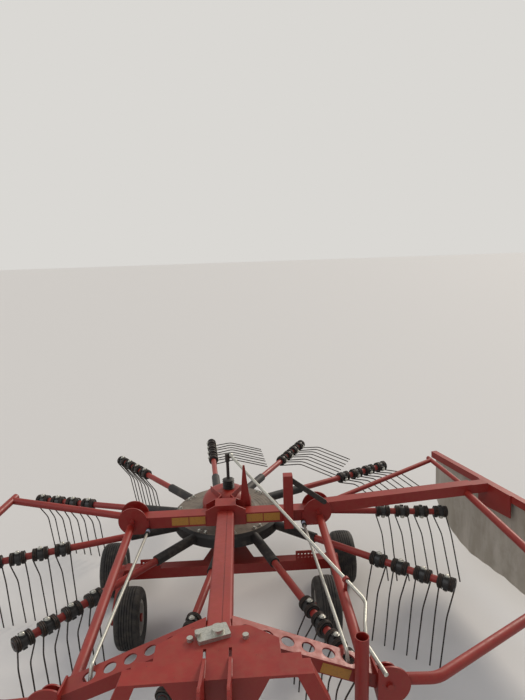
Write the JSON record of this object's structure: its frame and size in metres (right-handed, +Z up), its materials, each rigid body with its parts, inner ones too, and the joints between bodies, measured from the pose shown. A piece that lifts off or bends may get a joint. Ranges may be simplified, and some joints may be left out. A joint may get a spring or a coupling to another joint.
{
  "type": "rotary rake",
  "caption": "Three-point mounted rotary hay rake with fold-up guard rails, a sliding swath curtain, tandem wheels and a parking stand.",
  "frame": {"origin": "floor under the middle of the bounding box", "axes": "+Z up, +Y to the rear (away from the tractor), +X towards the swath curtain's side"},
  "size_m": [3.8948, 4.193, 1.222],
  "materials": {
    "red_paint": "satin",
    "hub_grey": "matte",
    "dark_steel": "satin",
    "tine_black": "satin",
    "galvanised": "satin",
    "rim_paint": "satin",
    "tyre": "matte",
    "curtain_sheet": "matte"
  },
  "bodies": {
    "frame": {"cross_beam": "red_paint", "main_beam": "red_paint", "wing_right": "red_paint", "wing_left": "red_paint", "rear_brackets": "red_paint", "front_brackets": "red_paint", "struts": "red_paint", "gearbox": "red_paint", "height_spindle": "dark_steel", "height_crank": "galvanised", "crank_eye": "red_paint", "lock_rods": "galvanised", "fold_post": "red_paint", "post_stay": "dark_steel", "cable_upright": "red_paint", "centre_column": "red_paint", "axle_beam": "red_paint", "rockers": "red_paint", "stand_sleeve": "red_paint"},
    "rotor": {"rotor_hub": "hub_grey", "arm_tubes": "red_paint", "tine_set_01": "tine_black", "tine_set_02": "tine_black", "tine_set_03": "tine_black", "tine_set_04": "tine_black", "tine_set_05": "tine_black", "tine_set_06": "tine_black", "tine_set_07": "tine_black", "tine_set_08": "tine_black", "tine_set_09": "tine_black", "tine_set_10": "tine_black", "tine_set_11": "tine_black"},
    "input": {"input_shaft": "galvanised"},
    "headstock": {"headstock_frame": "red_paint", "link_cheeks_left": "red_paint", "link_cheeks_right": "red_paint", "mast_plates": "red_paint", "swivel_catch": "galvanised"},
    "guard_left": {"guard_left": "red_paint"},
    "guard_right": {"guard_right_beam": "red_paint", "guard_right_loop": "red_paint", "guard_right_bow": "red_paint"},
    "curtain": {"curtain_arm": "red_paint", "curtain_rail": "red_paint", "curtain": "curtain_sheet"},
    "stand": {"stand_leg": "red_paint"},
    "wheel_front_left": {"tyre_front_left": "tyre", "rim_front_left": "rim_paint"},
    "wheel_front_right": {"tyre_front_right": "tyre", "rim_front_right": "rim_paint"},
    "wheel_rear_left": {"tyre_rear_left": "tyre", "rim_rear_left": "rim_paint"},
    "wheel_rear_right": {"tyre_rear_right": "tyre", "rim_rear_right": "rim_paint"}
  },
  "joints": [
    {"name": "rotor_spin", "type": "hinge", "parent": "frame", "child": "rotor", "pos_m": [-0.18775, 0.34747, 0.6], "axis": [0, 0, 1], "continuous": true},
    {"name": "input_spin", "type": "hinge", "parent": "frame", "child": "input", "pos_m": [-0.18775, -0.05253, 0.71], "axis": [0, -1, 0], "continuous": true},
    {"name": "headstock_swivel", "type": "hinge", "parent": "frame", "child": "headstock", "pos_m": [-0.18775, -1.64253, 1], "axis": [0, 0, 1], "range_deg": [-15, 15]},
    {"name": "guard_left_fold", "type": "hinge", "parent": "frame", "child": "guard_left", "pos_m": [-0.84375, -0.00453, 0.806], "axis": [0.0361, 0.9989, -0.0313], "range_deg": [0, 90]},
    {"name": "guard_right_fold", "type": "hinge", "parent": "frame", "child": "guard_right", "pos_m": [0.46825, -0.00453, 0.806], "axis": [0.0361, -0.9989, 0.0313], "range_deg": [0, 90]},
    {"name": "curtain_slide", "type": "slide", "parent": "guard_right", "child": "curtain", "axis": [0.9973, 0, 0.0734], "range_m": [0, 0.5]},
    {"name": "stand_lift", "type": "slide", "parent": "frame", "child": "stand", "axis": [0, 0, 1], "range_m": [0, 0.35]},
    {"name": "wheel_spin_front_left", "type": "hinge", "parent": "frame", "child": "wheel_front_left", "pos_m": [-0.86475, -0.27753, 0.203], "axis": [1, 0, 0], "continuous": true},
    {"name": "wheel_spin_front_right", "type": "hinge", "parent": "frame", "child": "wheel_front_right", "pos_m": [0.48925, -0.27753, 0.203], "axis": [1, 0, 0], "continuous": true},
    {"name": "wheel_spin_rear_left", "type": "hinge", "parent": "frame", "child": "wheel_rear_left", "pos_m": [-1.08875, 0.31248, 0.203], "axis": [1, 0, 0], "continuous": true},
    {"name": "wheel_spin_rear_right", "type": "hinge", "parent": "frame", "child": "wheel_rear_right", "pos_m": [0.71325, 0.31248, 0.203], "axis": [1, 0, 0], "continuous": true}
  ],
  "couplings": [
    {"joint": "input_spin", "follows": "rotor_spin", "ratio": 8.3}
  ]
}
